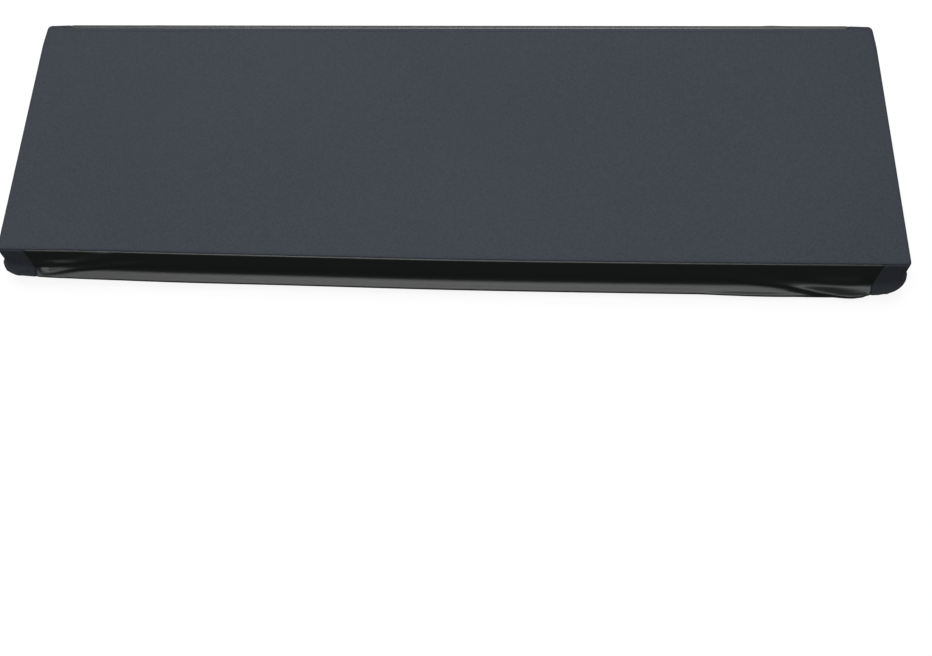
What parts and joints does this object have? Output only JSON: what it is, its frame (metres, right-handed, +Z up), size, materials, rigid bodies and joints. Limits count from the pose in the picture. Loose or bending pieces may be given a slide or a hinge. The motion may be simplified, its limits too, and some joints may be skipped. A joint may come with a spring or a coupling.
{
  "type": "digital piano cover",
  "caption": "Fitted stretch-knit dust cover for a slim digital piano, with a flat top, four bands gathered under its edge, and a drawcord with a spring lock.",
  "frame": {"origin": "on the underside of the top panel, over the middle of the instrument's top, where the cover rests on it", "axes": "+X to the right along the length, -Y towards the player, +Z up"},
  "size_m": [1.3868, 0.4742, 0.0952],
  "materials": {
    "charcoal_knit": "matte charcoal stretch knit",
    "black_satin_knit": "black stretch knit, slightly satin",
    "braided_cord": "thin round braided cord, black",
    "lock_plastic": "moulded black plastic",
    "spring_steel": "bright spring wire"
  },
  "bodies": {
    "root": {"top_panel": "charcoal_knit", "front_band": "black_satin_knit", "back_band": "black_satin_knit", "left_end_band": "charcoal_knit", "right_end_band": "charcoal_knit", "drawcord_loop": "braided_cord", "drawcord_return": "braided_cord", "drawcord_knot": "braided_cord", "cord_lock_body": "lock_plastic", "cord_lock_button": "lock_plastic", "cord_lock_spring": "spring_steel"}
  },
  "joints": []
}
